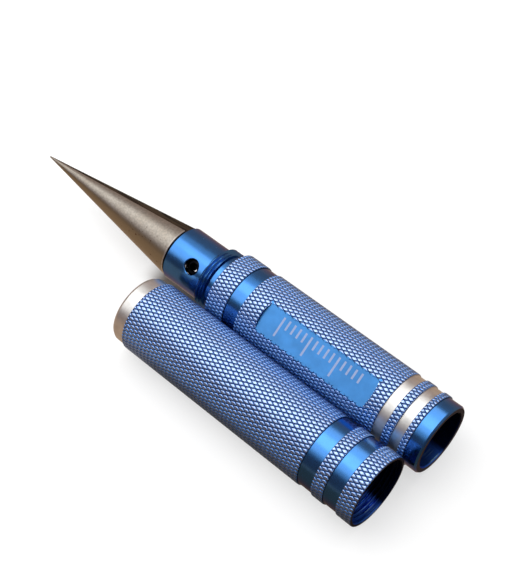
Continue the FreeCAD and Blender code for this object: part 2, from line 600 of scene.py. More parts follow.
@dataclass(frozen=True)
class AnodisedFlat(Anodised):
    """The same film on the milled flat, etched, with a plain scale of ticks marked in grey."""

    dye: Colour = (0.04, 0.17, 0.41)
    pale: float = 1.25
    clouds: Patches = Patches(260.0, (0.3, 0.75))
    roughness: float = 0.45
    relief: Range = (0.35, 0.006)
    film: float = 0.15
    grain_scale: float = 5200.0
    angle: float = FLAT_ANGLE
    ink: Colour = (0.26, 0.3, 0.45)
    ink_strength: float = 0.85
    first_tick: float = 36.0
    tick_pitch: float = 1.65
    ticks: int = 15
    tick_width: float = 0.52
    tick_blur: float = 0.06
    tick_foot: Range = (-2.7, -2.6)
    tick_top: float = -0.2
    long_extra: float = 2.6
    long_every: float = 5.0
    long_range: Range = (0.6, 0.4)
    top_blur: float = 0.05
    row_blur: float = 0.1

    def colour(self, graph: Graph, at: Around) -> Socket:
        """Cloudy dye under the marked scale."""
        dyed = graph.mix(self.clouds.mask(graph, at.spot), self.dye, shade(self.dye, self.pale))
        return graph.mix(self.scale(at), dyed, self.ink)

    def scale(self, at: Around) -> Socket:
        """Marks the ticks: every fifth one is long, and the others are short.

        Args:
            at: Places on the piece.

        Returns:
            How much ink is at the place.
        """
        count = (at.station - self.first_tick) / self.tick_pitch
        nearest = count.maths("ROUND")
        half, blur = self.tick_width / 2, self.tick_blur
        on_tick = (abs(count - nearest) * self.tick_pitch).step(half + blur, half - blur)
        middle, last = (self.ticks - 1) / 2, self.ticks / 2
        counted = abs(nearest - middle).step(last + self.row_blur, last - self.row_blur)
        fifth = (nearest % self.long_every).step(*self.long_range)
        side = at.beside(self.angle)
        above = side - (self.long_extra * fifth + self.tick_top)
        inked = side.step(*self.tick_foot) * above.step(self.top_blur, -self.top_blur)
        return on_tick * counted * inked * self.ink_strength

    def height(self, graph: Graph, at: Around) -> Socket:
        """Even grain of the etched face."""
        return graph.noise(at.spot, self.grain_scale, FINE)


@dataclass(frozen=True)
class BareTurned(Finish):
    """Aluminium cut after anodising, with the tool's rings."""

    metal: Colour = (0.56, 0.555, 0.54)
    dull: float = 0.82
    tarnish: Patches = Patches(500.0, (0.35, 0.75))
    roughness: float = 0.41
    spread: float = 0.14
    relief: Range = (0.5, 0.003)
    rings_per_mm: float = 14.0

    def inputs(self, graph: Graph, at: Around) -> Inputs:
        """Turns the metal and tarnishes it a little.

        Args:
            graph: The material's graph.
            at: Places on the piece.

        Returns:
            Values or links, by the name of the shader's socket.
        """
        rings = at.lathe_lines(self.rings_per_mm)
        tarnish = self.tarnish.mask(graph, at.spot)
        return {
            "Base Color": graph.mix(tarnish, self.metal, shade(self.metal, self.dull)),
            "Metallic": 1.0,
            "Roughness": self.uneven(rings),
            "Normal": graph.bump(rings, *self.relief),
        }


@dataclass(frozen=True)
class TappedThread(Finish):
    """Thread of the set screw's hole: painted glints on the crests over one side, and painted shade,
    near black, over the rest.
    """

    crest: Colour = (0.85, 0.85, 0.86)
    root: Colour = (0.008, 0.01, 0.02)
    pitch: float = SCREW_PITCH
    roughness: float = 0.25
    relief: Range = (0.6, 0.05)
    crest_range: Range = (-0.3, 0.5)
    glint_side_range: Range = (0.3, 1.0)

    def inputs(self, graph: Graph, at: Around) -> Inputs:
        """Winds the painted glints of the crests round the hole's own axis.

        Args:
            graph: The material's graph.
            at: Places on the piece that the hole is in.

        Returns:
            Values or links, by the name of the shader's socket.
        """
        side = at.beside(SCREW_ANGLE)
        turns = (at.radius * (math.tau / self.pitch) + side).maths("SINE")
        # Painted glints on the crests over one side; the root colour elsewhere is painted shade.
        thread_glint = turns.step(*self.crest_range) * side.step(*self.glint_side_range)
        return {
            "Base Color": graph.mix(thread_glint, self.root, self.crest),
            "Metallic": 1.0,
            "Roughness": self.roughness,
            "Specular Tint": rgba(self.root),
            "Normal": graph.bump(turns, *self.relief),
        }


@dataclass(frozen=True)
class GroundSteel(Finish):
    """Hardened steel ground round the cone, a little pitted, with painted warm shade on its lower side
    and a painted highlight ring by the base.
    """

    metal: Colour = (0.345, 0.32, 0.28)
    dull: float = 0.68
    mottle: Patches = Patches(1900.0, (0.3, 0.7), strength=0.75)
    stain: Colour = (0.27, 0.2, 0.13)
    stains: Patches = Patches(150.0, (0.35, 0.8), strength=0.35)
    painted_warm_shade: Colour = (0.245, 0.215, 0.155)
    painted_warm_shade_angle: float = math.radians(195.0)
    painted_warm_shade_range: Range = (0.42, 0.62)
    painted_highlight: Colour = (0.48, 0.45, 0.41)
    painted_highlight_range: Range = (49.78, 49.88)
    rust: Colour = (0.09, 0.045, 0.025)
    rust_strength: float = 0.9
    pits: Patches = Patches(1100.0, (0.65, 0.71), detail=2.0)
    pitted_side: Range = (-1.5, -4.0)
    pitted_length: Range = (30.0, 42.0)
    stray_pits: float = 0.1
    roughness: float = 0.36
    spread: float = 0.12
    relief: Range = (0.4, 0.004)
    rings_per_mm: float = 12.0
    grain_scale: float = 2600.0
    grain_detail: float = 4.0
    grain_height: float = 0.8

    def inputs(self, graph: Graph, at: Around) -> Inputs:
        """Grinds the cone, then stains it, paints warm shade and a highlight ring on it, and pits it.

        Args:
            graph: The material's graph.
            at: Places on the piece, whose stations start at the cone's apex.

        Returns:
            Values or links, by the name of the shader's socket.
        """
        metal = graph.mix(self.stains.mask(graph, at.spot), self.metal, self.stain)
        metal = graph.mix(self.mottle.mask(graph, at.spot), metal, shade(self.metal, self.dull))
        # Painted warm shade on the cone's lower side.
        painted_shade_side = (at.along(self.painted_warm_shade_angle) / at.radius).step(*self.painted_warm_shade_range)
        metal = graph.mix(painted_shade_side, metal, self.painted_warm_shade)
        # Painted highlight: a thin bright ring on the cone by its base.
        metal = graph.mix(at.station.step(*self.painted_highlight_range), metal, self.painted_highlight)
        pitted = at.across.step(*self.pitted_side) * at.station.step(*self.pitted_length)
        spared = self.stray_pits + (1.0 - self.stray_pits) * pitted
        pits = self.pits.mask(graph, at.spot) * spared
        grain = graph.noise(at.spot, self.grain_scale, self.grain_detail)
        height = at.lathe_lines(self.rings_per_mm) + grain * self.grain_height - pits
        return {
            "Base Color": graph.mix(pits * self.rust_strength, metal, self.rust),
            "Metallic": 1.0,
            "Roughness": self.uneven(grain),
            "Normal": graph.bump(height, *self.relief),
        }


@dataclass(frozen=True)
class BlackOxide(Finish):
    """Blackened steel, rubbed here and there, with a painted highlight in one spot."""

    black: Colour = (0.003, 0.003, 0.004)
    rubbed: Colour = (0.03, 0.03, 0.032)
    rub_scale: float = 1400.0
    rub_levels: Range = (0.6, 0.75)
    rub_strength: float = 0.5
    painted_highlight: Colour = (0.8, 0.8, 0.82)
    painted_spot_station: float = 8.55
    painted_spot_side: float = 0.25
    painted_spot_range: Range = (0.42, 0.28)
    edge_tint: Colour = (0.05, 0.05, 0.05)
    roughness: float = 0.34
    relief: Range = (0.3, 0.006)

    def inputs(self, graph: Graph, at: Around) -> Inputs:
        """Blackens the screw and paints a highlight spot on its outer end.

        Args:
            graph: The material's graph.
            at: Places on the piece that the screw sits in.

        Returns:
            Values or links, by the name of the shader's socket.
        """
        rub = graph.noise(at.spot, self.rub_scale, FINE)
        black = graph.mix(rub.step(*self.rub_levels) * self.rub_strength, self.black, self.rubbed)
        # Painted highlight: a small bright spot on the screw.
        along = at.station - self.painted_spot_station
        aside = at.beside(SCREW_ANGLE) - self.painted_spot_side
        wear_and_glint = (along * along + aside * aside).maths("SQRT").step(*self.painted_spot_range)
        return {
            "Base Color": graph.mix(wear_and_glint, black, self.painted_highlight),
            "Metallic": 1.0,
            "Specular Tint": rgba(self.edge_tint),
            "Roughness": self.uneven(rub),
            "Normal": graph.bump(rub, *self.relief),
        }


@dataclass(frozen=True)
class FluteScaleAndShade(Finish):
    """Dark scale that hardening leaves where nothing was ground afterwards, and painted shade behind
    the cone.
    """

    dark: Colour = (0.006, 0.004, 0.003)
    light: Colour = (0.05, 0.034, 0.02)
    stretch: tuple[float, float, float] = (0.03, 1.0, 1.0)
    streaks: Patches = Patches(1500.0, (0.38, 0.56))
    grain_scale: float = 3000.0
    metallic: float = 0.8
    roughness: float = 0.5
    spread: float = 0.16
    relief: Range = (0.4, 0.008)

    def inputs(self, graph: Graph, at: Around) -> Inputs:
        """Draws the scale's streaks out along the piece.

        Args:
            graph: The material's graph.
            at: Places on the piece.

        Returns:
            Values or links, by the name of the shader's socket.
        """
        drawn = graph.node("ShaderNodeMapping", {}, {"Vector": at.spot, "Scale": self.stretch})
        streaks = self.streaks.mask(graph, drawn)
        grain = graph.noise(at.spot, self.grain_scale)
        return {
            "Base Color": graph.mix(streaks, self.dark, self.light),
            "Metallic": self.metallic,
            "Roughness": self.uneven(grain),
            "Normal": graph.bump(grain, *self.relief),
        }


# ----------------------------------------------------------------------------------------------
# Mesh writing
# ----------------------------------------------------------------------------------------------


class Solid:
    """Points and faces of one closed mesh, in a piece's own millimetres with its axis along X."""

    def __init__(self) -> None:
        """Starts with nothing in it."""
        self.points: list[tuple[float, float, float]] = []
        self.faces: list[tuple[int, ...]] = []

    def point(self, station: float, across: float, up: float) -> int:
        """Adds one point and gives its number."""
        self.points.append((float(station), float(across), float(up)))
        return len(self.points) - 1

    def polar(self, station: float, radius: float, angle: float) -> int:
        """Adds one point by its radius and angle about the axis and gives its number."""
        return self.point(station, radius * math.cos(angle), radius * math.sin(angle))

    def ring(self, row: "Row", start_angle: float = 0.0) -> list[int]:
        """Adds a row of points evenly round the axis.

        Args:
            row: Their stations and radii.
            start_angle: Angle of the first one about the axis.

        Returns:
            Their numbers.
        """
        turn = 2 * math.pi / len(row.radii)
        spots = zip(row.stations, row.radii)
        return [self.polar(s, r, start_angle + i * turn) for i, (s, r) in enumerate(spots)]

    def band(self, first: Sequence[int], second: Sequence[int]) -> None:
        """Joins two closed loops with quads.

        Args:
            first: The numbers of one loop's points.
            second: As many of the other's.
        """
        count = len(first)
        for i in range(count):
            j = (i + 1) % count
            self.faces.append((first[i], first[j], second[j], second[i]))

    def fan(self, loop: Sequence[int], middle: int, ahead: bool) -> None:
        """Closes a loop onto one point.

        Args:
            loop: The numbers of the loop's points.
            middle: The number of the point.
            ahead: Whether the point comes before the loop in the outline.
        """
        count = len(loop)
        for i in range(count):
            pair = (loop[i], loop[(i + 1) % count])
            self.faces.append((middle, *(reversed(pair) if ahead else pair)))

    def turned(self, rows: Sequence["Row"]) -> "Solid":
        """Adds a closed turned solid.

        Args:
            rows: The outline. Its first and last row close onto the axis.

        Returns:
            The solid itself.
        """
        rings = [self.ring(row) for row in rows]
        for first, second in zip(rings, rings[1:]):
            self.band(first, second)
        for row, ring, ahead in ((rows[0], rings[0], True), (rows[-1], rings[-1], False)):
            self.fan(ring, self.point(row.closing, 0.0, 0.0), ahead)
        return self

    def prism(self, section: Sequence[Vector], travel: Vector) -> "Solid":
        """Adds a prism.

        Args:
            section: Corners of a flat outline.
            travel: How far and which way it is swept.

        Returns:
            The solid itself.
        """
        near = [self.point(*corner) for corner in section]
        far = [self.point(*(corner + travel)) for corner in section]
        self.band(near, far)
        self.faces += [tuple(reversed(near)), tuple(far)]
        return self

    def build(self, name: str, place: Matrix) -> bpy.types.Object:
        """Makes the Blender object.

        Args:
            name: The object's name.
            place: Matrix from these points to metres.

        Returns:
            The object, with outward normals.
        """
        mesh = bpy.data.meshes.new(name)
        mesh.from_pydata([place @ Vector(p) for p in self.points], [], self.faces)
        mesh.update()
        middle = sum((v.co for v in mesh.vertices), Vector()) / len(mesh.vertices)
        volume = sum(p.area * (p.center - middle).dot(p.normal) for p in mesh.polygons)
        if volume < 0:
            mesh.flip_normals()
        made = bpy.data.objects.new(name, mesh)
        bpy.context.scene.collection.objects.link(made)
        return made


@dataclass(frozen=True)
class Row:
    """One loop of a turned outline: a station and a radius for each column."""

    stations: np.ndarray
    radii: np.ndarray
    closing: float

    @classmethod
    def even(cls, station: float, radius: float, columns: int) -> "Row":
        """Row with the same station and radius all the way round."""
        return cls(np.full(columns, station), np.full(columns, radius), station)


def even_rows(outline: Sequence[tuple[float, float]], columns: int) -> list[Row]:
    """Rows for a plain outline of (station, radius) points."""
    return [Row.even(station, radius, columns) for station, radius in outline]


@dataclass(frozen=True)
class Thread:
    """Screw thread along X between two stations.

    Its profile goes from root to crest, and each foot is the radius that the thread ends in. The
    flank is the slope of the profile's sides, in thread heights to a pitch.
    """

    start: float
    end: float
    pitch: float
    root: float
    crest: float
    start_foot: float
    end_foot: float
    rows_per_pitch: int = 12
    flank: float = 2.4
    chamfer_slope: float = 2.0

    def rows(self, columns: int) -> list[Row]:
        """Works out the rows of the threaded length.

        Args:
            columns: How many points each row has.

        Returns:
            The rows, from start to end.
        """
        turns = np.arange(columns) / columns
        count = math.ceil((self.end - self.start) / self.pitch * self.rows_per_pitch)
        stations = np.linspace(self.start, self.end, count + 1)
        return [Row(np.full(columns, s), self.radii(s, turns), s) for s in stations]

    def radii(self, station: float, turns: np.ndarray) -> np.ndarray:
        """Works out the radii of one row, held under both end chamfers.

        Args:
            station: Where the row is.
            turns: The fraction of a turn of each of its points.

        Returns:
            The radius at each point.
        """
        phase = (station / self.pitch - turns) % 1.0
        ridge = np.clip(0.5 + self.flank * (0.25 - np.abs(phase - 0.5)), 0.0, 1.0)
        height = abs(self.crest - self.root)
        sign = math.copysign(1.0, self.crest - self.root)
        rise = sign * (self.root - self.start_foot) + height * ridge
        rise = np.minimum(rise, self.chamfer_slope * (station - self.start))
        limit = self.chamfer_slope * (self.end - station) + sign * (self.end_foot - self.start_foot)
        return self.start_foot + sign * np.minimum(rise, limit)


@dataclass(frozen=True)
class Knurl:
    """Diamond knurl: flat-topped diamonds with rounded shoulders between crossing grooves.

    The sizes of the top and the shoulder, and the cuts at their tips, are shares of a whole diamond.
    """

    crest: float = GRIP_RADIUS
    depth: float = KNURL_DEPTH
    count: int = 56
    pitch: float = 2.33
    top: float = 0.6
    shoulder: float = 0.8
    shoulder_drop: float = 0.045
    tip_cut: float = 0.38
    side_cut: float = 0.1
    first_station: float = 0.0
    first_angle: float = 0.0

    def spot(self, i: float, j: float) -> tuple[float, float]:
        """Station and angle of a place in the lattice of half pitches."""
        angle = math.radians(self.first_angle) + j * math.pi / self.count
        return self.first_station + i * self.pitch / 2, angle

    def bar(self, knurled: tuple[float, float], plain: tuple[float, float]) -> Solid:
        """Round bar, knurled over one length and plain at the grooves' depth beyond it.

        Args:
            knurled: First and last station that need the knurl.
            plain: First and last station of the bar.

        Returns:
            The closed bar.
        """
        half = self.pitch / 2
        low = math.floor((knurled[0] - self.first_station) / half) - 2
        high = math.ceil((knurled[1] - self.first_station) / half) + 2
        around = 2 * self.count
        floor = self.crest - self.depth
        solid = Solid()
        grooves = {}
        for i in range(low, high + 1):
            for j in range(around):
                if (i + j) % 2:
                    station, angle = self.spot(i, j)
                    grooves[i, j] = solid.polar(station, floor, angle)
        for i in range(low + 1, high):
            for j in range(around):
                if (i + j) % 2 == 0:
                    ends = ((i + 1, j), (i, j - 1), (i - 1, j), (i, j + 1))
                    self.diamond(solid, i, j, [grooves[a, b % around] for a, b in ends])
        front = [grooves[(low, j) if (low + j) % 2 else (low + 1, j)] for j in range(around)]
        back = [grooves[(high, j) if (high + j) % 2 else (high - 1, j)] for j in range(around)]
        start = math.radians(self.first_angle)
        ends = [Row.even(station, floor, around) for station in plain]
        rings = [solid.ring(row, start) for row in ends]
        solid.band(rings[0], front)
        solid.band(back, rings[1])
        solid.fan(rings[0], solid.point(plain[0], 0.0, 0.0), True)
        solid.fan(rings[1], solid.point(plain[1], 0.0, 0.0), False)
        return solid

    def diamond(self, solid: Solid, i: int, j: int, corners: Sequence[int]) -> None:
        """Adds one diamond's flat top, its shoulder and its flanks.

        Args:
            solid: The solid that gets the faces.
            i: The diamond's row.
            j: Its column.
            corners: The numbers of the four groove points round it.
        """
        shoulder = self.octagon(solid, i, j, self.shoulder, self.crest - self.shoulder_drop)
        top = self.octagon(solid, i, j, self.top, self.crest)
        for k in range(4):
            near, far = shoulder[2 * k], shoulder[2 * k + 1]
            solid.faces.append((corners[k], corners[(k + 1) % 4], far, near))
            solid.faces.append((corners[k], near, shoulder[2 * k - 1]))
        solid.band(shoulder, top)
        solid.faces.append(tuple(top))

    def octagon(self, solid: Solid, i: int, j: int, reach: float, radius: float) -> list[int]:
        """Adds the eight points of a diamond with its four tips cut off.

        Args:
            solid: The solid that gets the points.
            i: The diamond's row.
            j: Its column.
            reach: Size of the octagon as a share of the whole diamond.
            radius: Distance of the points from the axis.

        Returns:
            The numbers of the points.
        """
        tips = ((reach, 0.0), (0.0, -reach), (-reach, 0.0), (0.0, reach))
        points: list[int] = []
        cuts = (self.tip_cut, self.side_cut)
        for number, (a, b) in enumerate(zip(tips, tips[1:] + tips[:1])):
            for part in (cuts[number % 2], 1 - cuts[1 - number % 2]):
                di = a[0] + (b[0] - a[0]) * part
                dj = a[1] + (b[1] - a[1]) * part
                station, angle = self.spot(i + di, j + dj)
                points.append(solid.polar(station, radius, angle))
        return points


def carve(target: bpy.types.Object, tool: bpy.types.Object, cut: Cut) -> None:
    """Applies a tool solid to a target and removes the tool.

    Args:
        target: The solid that changes.
        tool: The solid that changes it.
        cut: What the tool does.
    """
    modifier = target.modifiers.new("cut", "BOOLEAN")
    modifier.operation = cut.value
    modifier.solver = "MANIFOLD"
    modifier.object = tool
    graph = bpy.context.evaluated_depsgraph_get()
    carved = bpy.data.meshes.new_from_object(target.evaluated_get(graph))
    target.modifiers.clear()
    plain = target.data
    target.data = carved
    bpy.data.meshes.remove(plain)
    bpy.data.objects.remove(tool)


def sharpen(piece: bpy.types.Object, angle: float, soft: int = -1, soft_angle: float = 0.0) -> None:
    """Shades a mesh smooth, but for edges between two materials or with a sharp turn.

    Args:
        piece: The piece, already painted.
        angle: The least turn of a sharp edge, in degrees.
        soft: Slot of the one material whose own edges have a limit apart.
        soft_angle: That limit, in degrees.
    """
    piece.data.shade_smooth()
    mesh = bmesh.new()
    mesh.from_mesh(piece.data)
    for edge in mesh.edges:
        slots = [face.material_index for face in edge.link_faces]
        limit = soft_angle if slots == [soft, soft] else angle
        turn = math.degrees(edge.calc_face_angle(math.pi))
        edge.smooth = turn < limit and slots[0] == slots[-1]
    mesh.to_mesh(piece.data)
    mesh.free()


@dataclass(frozen=True)
class Spot:
    """Middle of a face in a piece's own millimetres."""

    station: float
    across: float
    up: float

    @property
    def radius(self) -> float:
        """Distance from the piece's axis."""
        return math.hypot(self.across, self.up)

    def height(self, angle: float) -> float:
        """Distance from the axis along a direction about X."""
        return self.across * math.cos(angle) + self.up * math.sin(angle)


def paint(piece: bpy.types.Object, axis: Axis, materials: Sequence[bpy.types.Material],
          choose: Callable[[Spot], int]) -> None:
    """Gives a piece its materials and each face its slot.

    Args:
        piece: The piece.
        axis: Its axis.
        materials: Its materials, in slot order.
        choose: Picks the slot for the middle of a face.
    """
    piece.data.materials.clear()
    for material in materials:
        piece.data.materials.append(material)
    for polygon in piece.data.polygons:
        x, y, z = polygon.center
        spot = Spot((x - axis.start) / MM, (y - axis.y) / MM, (z - axis.z) / MM)
        polygon.material_index = choose(spot)


# ----------------------------------------------------------------------------------------------
# Pieces
# ----------------------------------------------------------------------------------------------


@dataclass(frozen=True)
class Tube:
    """Sizes that the handle and the cap share.

    The core is the radius at which an outline closes onto the axis, and tool solids overrun what they
    cut. The skin is how far above a band's radius a face counts as knurl, and the margin how far past
    a bore's wall it still counts as the bore. Creases are in degrees.
    """

    grip: float = GRIP_RADIUS
    band: float = 8.98
    edge: float = 0.12
    spare: float = 0.15
    core: float = 0.05
    overrun: float = 2.0
    skin: float = 0.03
    margin: float = 0.2
    crease: float = 28.0
    knurl_crease: float = 50.0
    columns: int = 192

    def grip_outline(self, start: float, end: float, bands: Sequence[Range]) -> Outline:
        """Outline over a knurled length, stepped down at each band.

        Args:
            start: First station of the length.
            end: Last station of the length.
            bands: First and last station of each band.

        Returns:
            Points that stand a little over the crests, but for the broken edges.
        """
        lefts = [start] + [band[1] for band in bands]
        rights = [band[0] for band in bands] + [end]
        over = self.grip + self.spare
        rise = self.edge + self.spare
        points: Outline = []
        for left, right in zip(lefts, rights):
            points += [(left, self.band), (left, self.grip - self.edge), (left + rise, over)]
            points += [(right - rise, over), (right, self.grip - self.edge), (right, self.band)]
        return points


@dataclass(frozen=True)
class Handle(Tube):
    """Turned handle with its collar, thread, banded grip, marking flat and bores."""

    collar: float = 7.25
    collar_edge: float = 0.1
    thread: Thread = Thread(start=11.0, end=14.1, pitch=1.0, root=7.68, crest=8.2,
                            start_foot=7.25, end_foot=7.5)
    relief: float = 7.5
    shoulder: float = 16.1
    blue_bands: tuple[Range, ...] = ((21.6, 25.4),)
    bare_bands: tuple[Range, ...] = ((67.25, 69.8), (72.05, 74.55))
    end_ring: tuple[float, float] = (76.15, 8.95)
    length: float = 79.8
    end_chamfer: tuple[float, float] = (0.45, 0.32)
    pocket: tuple[float, float] = (4.05, 16.6)
    pocket_chamfer: float = 0.2
    bore: tuple[float, float] = (7.25, 42.0)
    bore_chamfer: float = 0.25
    drill_slope: float = 0.6
    flat: Range = (30.65, 63.7)
    flat_angle: float = FLAT_ANGLE
    flat_half_width: float = 3.83
    flat_end_radius: float = 11.0
    flat_arc_steps: int = 12
    screw_station: float = SCREW_STATION
    screw_angle: float = SCREW_ANGLE
    hole: float = 2.0
    hole_root: float = 2.22
    hole_thread: Range = (3.0, 6.8)
    hole_pitch: float = SCREW_PITCH
    hole_chamfer: float = 0.15
    hole_overrun: float = 1.0
    hole_columns: int = 64
    knurl: Knurl = Knurl(pitch=2.29, first_station=16.32, first_angle=105.7)

    @property
    def flat_height(self) -> float:
        """Distance of the marking flat from the axis."""
        return math.sqrt(self.grip ** 2 - self.flat_half_width ** 2)

    def build(self) -> bpy.types.Object:
        """Makes the handle.

        Returns:
            The object, without its finishes.
        """
        axis = Axis.of("handle")
        place = axis.place()
        handle = Solid().turned(self.rows()).build("handle_body", place)
        plain = (-self.overrun, self.length + self.overrun)
        bar = self.knurl.bar((self.shoulder, self.end_ring[0]), plain)
        carve(handle, bar.build("bar", place), Cut.KEEP_INSIDE)
        carve(handle, self.flat_cutter().build("mill", place), Cut.REMOVE)
        tap = Solid().turned(self.hole_rows())
        radial = axis.radial(self.screw_station, self.screw_angle)
        carve(handle, tap.build("tap", radial), Cut.REMOVE)
        return handle

    def rows(self) -> list[Row]:
        """Works out the whole turned outline.

        Returns:
            Its rows, from the pocket round to the rear bore.
        """
        pocket_r, pocket_end = self.pocket
        bore_r, bore_depth = self.bore
        bore_end = self.length - bore_depth
        ring_start, ring_r = self.end_ring
        back, drop = self.end_chamfer
        front: Outline = [(pocket_end + pocket_r * self.drill_slope, self.core)]
        front += [(pocket_end, pocket_r), (self.pocket_chamfer, pocket_r)]
        front += [(0.0, pocket_r + self.pocket_chamfer), (0.0, self.collar - self.collar_edge)]
        front += [(self.collar_edge, self.collar)]
        rear: Outline = [(self.shoulder, self.relief)]
        rear += self.grip_outline(self.shoulder, ring_start, self.blue_bands + self.bare_bands)
        rear += [(ring_start, ring_r), (self.length - back, ring_r), (self.length, ring_r - drop)]
        rear += [(self.length, bore_r + self.bore_chamfer)]
        rear += [(self.length - self.bore_chamfer, bore_r), (bore_end, bore_r)]
        rear += [(bore_end - bore_r * self.drill_slope, self.core)]
        columns = self.columns
        return even_rows(front, columns) + self.thread.rows(columns) + even_rows(rear, columns)

    def flat_cutter(self) -> Solid:
        """Shapes what is milled off over the marking flat.

        Returns:
            A solid with the milling cutter's arc at each end.
        """
        radius = self.flat_end_radius
        turns = arc(math.asin(self.flat_half_width / radius), self.flat_arc_steps)
        low = [(self.flat[0] + radius * (1 - math.cos(t)), radius * math.sin(t)) for t in turns]
        high = [(self.flat[1] - radius * (1 - math.cos(t)), -radius * math.sin(t)) for t in turns]
        out = about(self.flat_angle)
        side, floor = quarter_turn(out), out * self.flat_height
        section = [Vector((x, 0.0, 0.0)) + side * s + floor for x, s in low + high]
        return Solid().prism(section, out * self.overrun)

    def hole_rows(self) -> list[Row]:
        """Works out the tapped hole for the set screw.

        Returns:
            Its rows, outwards from the axis, with a rim that follows the round collar.
        """
        columns = self.hole_columns
        turns = np.arange(columns) * 2 * math.pi / columns
        start, end = self.hole_thread
        thread = Thread(start, end, self.hole_pitch, self.hole_root, self.hole, self.hole, self.hole)
        wide = self.hole + self.hole_chamfer
        rim = np.sqrt(self.collar ** 2 - (wide * np.sin(turns)) ** 2)
        even = np.ones(columns)
        inner = Row.even(0.0, self.hole, columns)
        lip = Row(rim - self.hole_chamfer, even * self.hole, 0.0)
        mouth = Row(rim, even * wide, 0.0)
        outer = Row.even(self.collar + self.hole_overrun, wide, columns)
        return [inner, *thread.rows(columns), lip, mouth, outer]

    def on_flat(self, spot: Spot) -> bool:
        """Tells whether a face lies in the marking flat.

        Args:
            spot: The middle of the face.

        Returns:
            Whether it does.
        """
        floor = self.flat_height
        level = abs(spot.height(self.flat_angle) - floor) < TOUCH
        return level and spot.radius > floor - TOUCH and self.flat[0] < spot.station < self.flat[1]

    def choose(self, spot: Spot) -> int:
        """Picks the surface that a face belongs to.

        Args:
            spot: The middle of the face.

        Returns:
            The number of the surface's slot.
        """
        bore_bottom = self.length - self.bore[1] - self.bore[0]
        if spot.station > self.length - TOUCH:
            return Look.RIM.value
        if spot.radius < self.bore[0] + self.margin and spot.station > bore_bottom:
            return Look.BORED.value
        if TOUCH < spot.station < self.shoulder and spot.radius < self.collar - self.edge:
            tapped = spot.radius > self.pocket[0] + self.margin
            return Look.TAPPED.value if tapped else Look.BORED.value
        if self.on_flat(spot):
            return Look.MILLED.value
        if any(low - TOUCH < spot.station < high + TOUCH for low, high in self.bare_bands):
            return Look.BARE.value
        if spot.radius > self.band + self.skin and spot.station > self.shoulder:
            return Look.KNURLED.value
        return Look.TURNED.value

    def dress(self, handle: bpy.types.Object) -> None:
        """Gives the handle its finishes and its place in the frame.

        Args:
            handle: The object.
        """
        axis = Axis.of("handle")
        looks = [
            Anodised().make("blue_anodised_turned", axis),
            AnodisedKnurl().make("blue_anodised_knurl", axis),
            BareTurned().make("bare_turned", axis),
            AnodisedFlat(angle=self.flat_angle).make("blue_anodised_flat", axis),
            AnodisedBore().make("blue_anodised_bore", axis),
            AnodisedRim().make("rubbed_rim", axis),
            TappedThread().make("thread_painted_glint_and_shade", axis),
        ]
        paint(handle, axis, looks, self.choose)
        sharpen(handle, self.crease, Look.KNURLED.value, self.knurl_crease)
        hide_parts("handle")
        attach(handle, "handle")


@dataclass(frozen=True)
class Cap(Tube):
    """Closed knurled tube with a turned nose, two bands and a threaded mouth."""

    length: float = 73.75
    nose: tuple[float, float] = (3.6, 8.88)
    nose_chamfer: tuple[float, float] = (0.55, 0.3)
    blue_bands: tuple[Range, ...] = ((58.5, 62.55), (65.75, 69.55))
    bore: float = 7.65
    floor: float = 5.6
    mouth: float = 8.3
    mouth_chamfer: float = 0.3
    thread: Thread = Thread(start=68.75, end=72.9, pitch=1.05, root=8.25, crest=7.72,
                            start_foot=7.65, end_foot=8.3)
    knurl: Knurl = Knurl(pitch=2.37, first_station=4.65, first_angle=91.2)

    def build(self) -> bpy.types.Object:
        """Makes the cap.

        Returns:
            The object, without its finishes.
        """
        place = Axis.of("cap").place()
        cap = Solid().turned(self.rows()).build("cap_body", place)
        plain = (-self.overrun, self.length + 2 * self.overrun)
        bar = self.knurl.bar((self.nose[0], self.length), plain)
        carve(cap, bar.build("bar", place), Cut.KEEP_INSIDE)
        return cap

    def rows(self) -> list[Row]:
        """Works out the whole turned outline.

        Returns:
            Its rows, from the nose round to the bore's floor.
        """
        nose_end, nose_r = self.nose
        back, drop = self.nose_chamfer
        outside: Outline = [(0.0, self.core), (0.0, nose_r - drop), (back, nose_r), (nose_end, nose_r)]
        outside += self.grip_outline(nose_end, self.length, self.blue_bands)[:-1]
        outside += [(self.length, self.mouth + self.mouth_chamfer)]
        outside += [(self.length - self.mouth_chamfer, self.mouth)]
        columns = self.columns
        inside = even_rows([(self.floor, self.bore), (self.floor, self.core)], columns)
        ridges = list(reversed(self.thread.rows(columns)))
        return even_rows(outside, columns) + ridges + inside

    def choose(self, spot: Spot) -> int:
        """Picks the surface that a face belongs to.

        Args:
            spot: The middle of the face.

        Returns:
            The number of the surface's slot.
        """
        if spot.station > self.length - TOUCH:
            return Look.RIM.value
        if spot.radius < self.mouth + self.margin and spot.station > self.floor - TOUCH:
            return Look.BORED.value
        if spot.station < self.nose[0] + TOUCH:
            return Look.BARE.value
        if spot.radius > self.band + self.skin:
            return Look.KNURLED.value
        return Look.TURNED.value

    def dress(self, cap: bpy.types.Object) -> None:
        """Gives the cap its finishes and its place in the frame.

        Args:
            cap: The object.
        """
        axis = Axis.of("cap")
        turned = Anodised().make("blue_anodised_turned_cap", axis)
        looks = [
            turned,
            AnodisedKnurl().make("blue_anodised_knurl_cap", axis),
            BareTurned().make("bare_turned_cap", axis),
            turned,
            AnodisedBore().make("blue_anodised_bore_cap", axis),
            AnodisedRim().make("rubbed_rim_cap", axis),
        ]
        paint(cap, axis, looks, self.choose)
        sharpen(cap, self.crease, Look.KNURLED.value, self.knurl_crease)
        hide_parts("cap")
        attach(cap, "cap")


